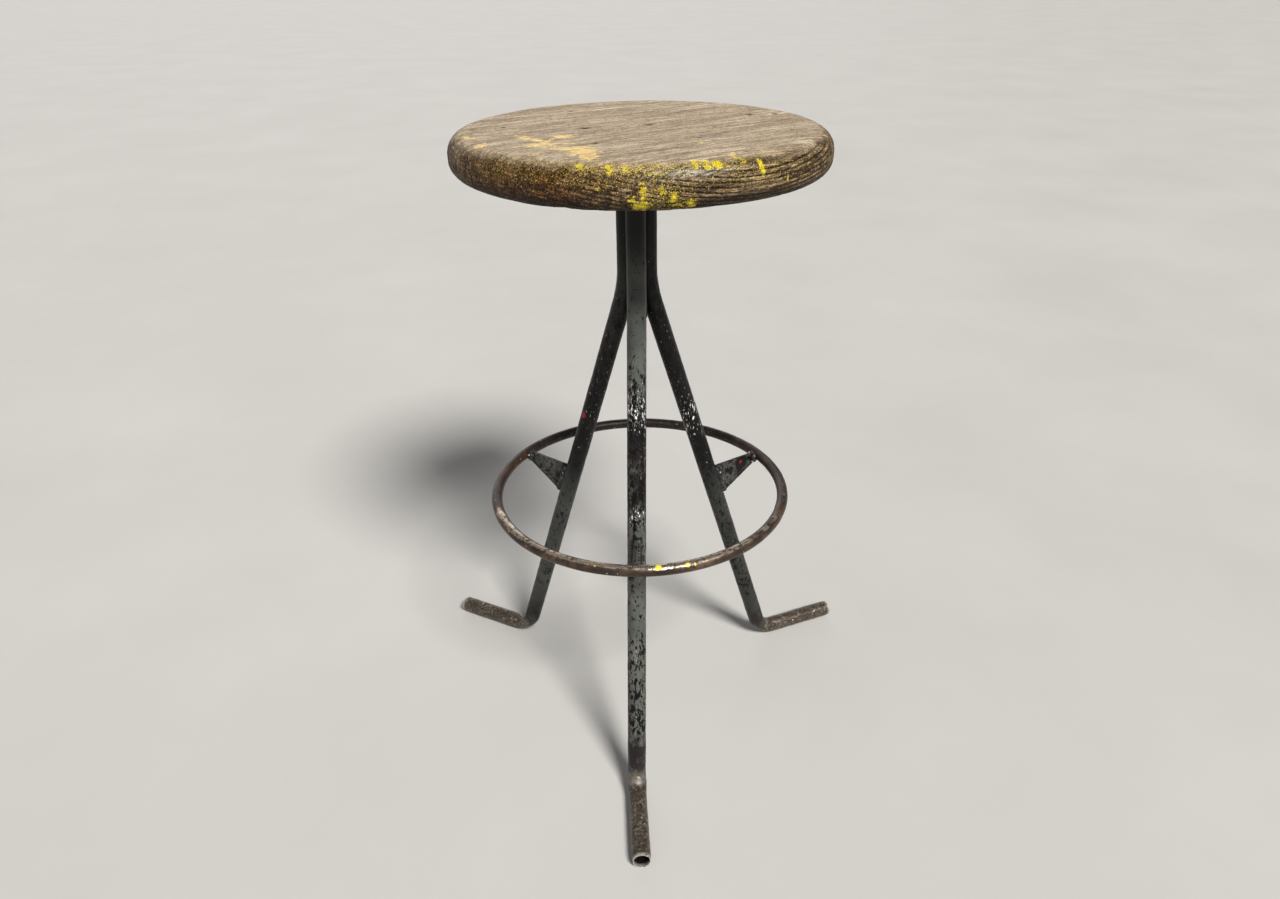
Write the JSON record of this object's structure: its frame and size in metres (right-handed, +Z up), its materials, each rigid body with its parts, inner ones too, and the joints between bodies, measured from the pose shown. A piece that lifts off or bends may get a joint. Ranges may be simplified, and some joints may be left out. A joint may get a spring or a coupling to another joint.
{
  "type": "adjustable swivel stool",
  "caption": "Round wooden seat on a threaded spindle in a frame of bent steel tube legs, with a round foot ring held on gussets; turning the seat raises it.",
  "frame": {"origin": "on the ground under the middle of the whole stool's box; the swivel axis is 49 mm behind it, towards +Y", "axes": "+Z up along the swivel axis; the front leg points to -Y, the other two point back to the left and the right"},
  "size_m": [0.507, 0.453, 0.668],
  "materials": {
    "seat_wood": "weathered ash or oak, worn, with remnants of yellow paint",
    "leg_paint": "dark grey paint, chipped to black and bare steel",
    "dark_paint": "dark grey paint, dirty and chipped",
    "ring_steel": "brown worn steel, polished by shoes",
    "bare_steel": "bare steel, oily and lightly rusted"
  },
  "bodies": {
    "frame": {"leg_front": "leg_paint", "leg_left": "leg_paint", "leg_right": "leg_paint", "gusset_front": "leg_paint", "gusset_left": "leg_paint", "gusset_right": "leg_paint", "foot_ring": "ring_steel", "head_plate": "dark_paint", "guide_tube": "dark_paint", "spindle_nut": "bare_steel"},
    "washer": {"wear_washer": "bare_steel"},
    "seat": {"seat": "seat_wood", "seat_plate": "dark_paint", "seat_screw_1": "bare_steel", "seat_screw_2": "bare_steel", "seat_screw_3": "bare_steel", "seat_screw_4": "bare_steel", "spindle": "bare_steel", "stop_pin": "bare_steel", "guide_bush": "bare_steel"}
  },
  "joints": [
    {"name": "seat_turn", "type": "hinge", "parent": "frame", "child": "washer", "pos_m": [0, 0.04903, 0.62], "axis": [0, 0, 1], "range_deg": [0, 9360]},
    {"name": "seat_rise", "type": "slide", "parent": "washer", "child": "seat", "axis": [0, 0, 1], "range_m": [0, 0.10401]}
  ],
  "couplings": [
    {"joint": "seat_rise", "follows": "seat_turn", "m_per_rad": 0.00063662}
  ]
}
